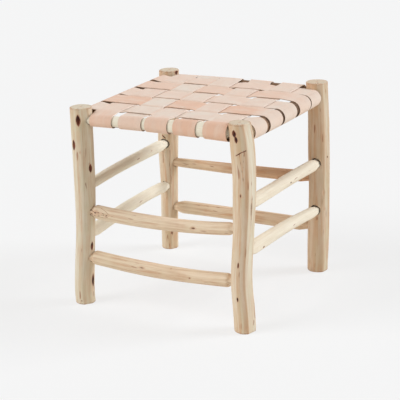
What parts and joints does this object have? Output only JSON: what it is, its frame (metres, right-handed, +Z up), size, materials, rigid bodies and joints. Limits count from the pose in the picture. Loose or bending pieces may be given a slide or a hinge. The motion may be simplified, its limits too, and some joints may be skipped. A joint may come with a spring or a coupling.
{
  "type": "woven stool",
  "caption": "Low stool of peeled branch poles in round mortise and tenon joints, with a square seat of flat leather straps woven over its rails.",
  "frame": {"origin": "on the floor, under the middle of the stool's outline", "axes": "+X to the stool's right and +Y to its back as the picture's front is faced, +Z up"},
  "size_m": [0.4512, 0.4409, 0.45],
  "materials": {
    "leg_wood": "peeled branch with knots, sanded and left bare",
    "rail_wood": "peeled branch, left bare",
    "stretcher_wood": "peeled branch, whittled at its ends and left bare",
    "strap_leather": "undyed vegetable tanned leather with raw cut edges",
    "tack_steel": "blued steel"
  },
  "bodies": {
    "root": {"leg_front_left": "leg_wood", "leg_front_right": "leg_wood", "leg_back_right": "leg_wood", "leg_back_left": "leg_wood", "seat_rail_front": "rail_wood", "seat_rail_back": "rail_wood", "seat_rail_left": "rail_wood", "seat_rail_right": "rail_wood", "stretcher_front_lower": "stretcher_wood", "stretcher_front_upper": "stretcher_wood", "stretcher_back_lower": "stretcher_wood", "stretcher_back_upper": "stretcher_wood", "stretcher_left_lower": "stretcher_wood", "stretcher_left_upper": "stretcher_wood", "stretcher_right_lower": "stretcher_wood", "stretcher_right_upper": "stretcher_wood", "strap_lengthwise_1": "strap_leather", "strap_lengthwise_2": "strap_leather", "strap_lengthwise_3": "strap_leather", "strap_lengthwise_4": "strap_leather", "strap_lengthwise_5": "strap_leather", "strap_crosswise_1": "strap_leather", "strap_crosswise_2": "strap_leather", "strap_crosswise_3": "strap_leather", "strap_crosswise_4": "strap_leather", "strap_crosswise_5": "strap_leather", "tacks_front": "tack_steel", "tacks_back": "tack_steel", "tacks_left": "tack_steel", "tacks_right": "tack_steel"}
  },
  "joints": []
}
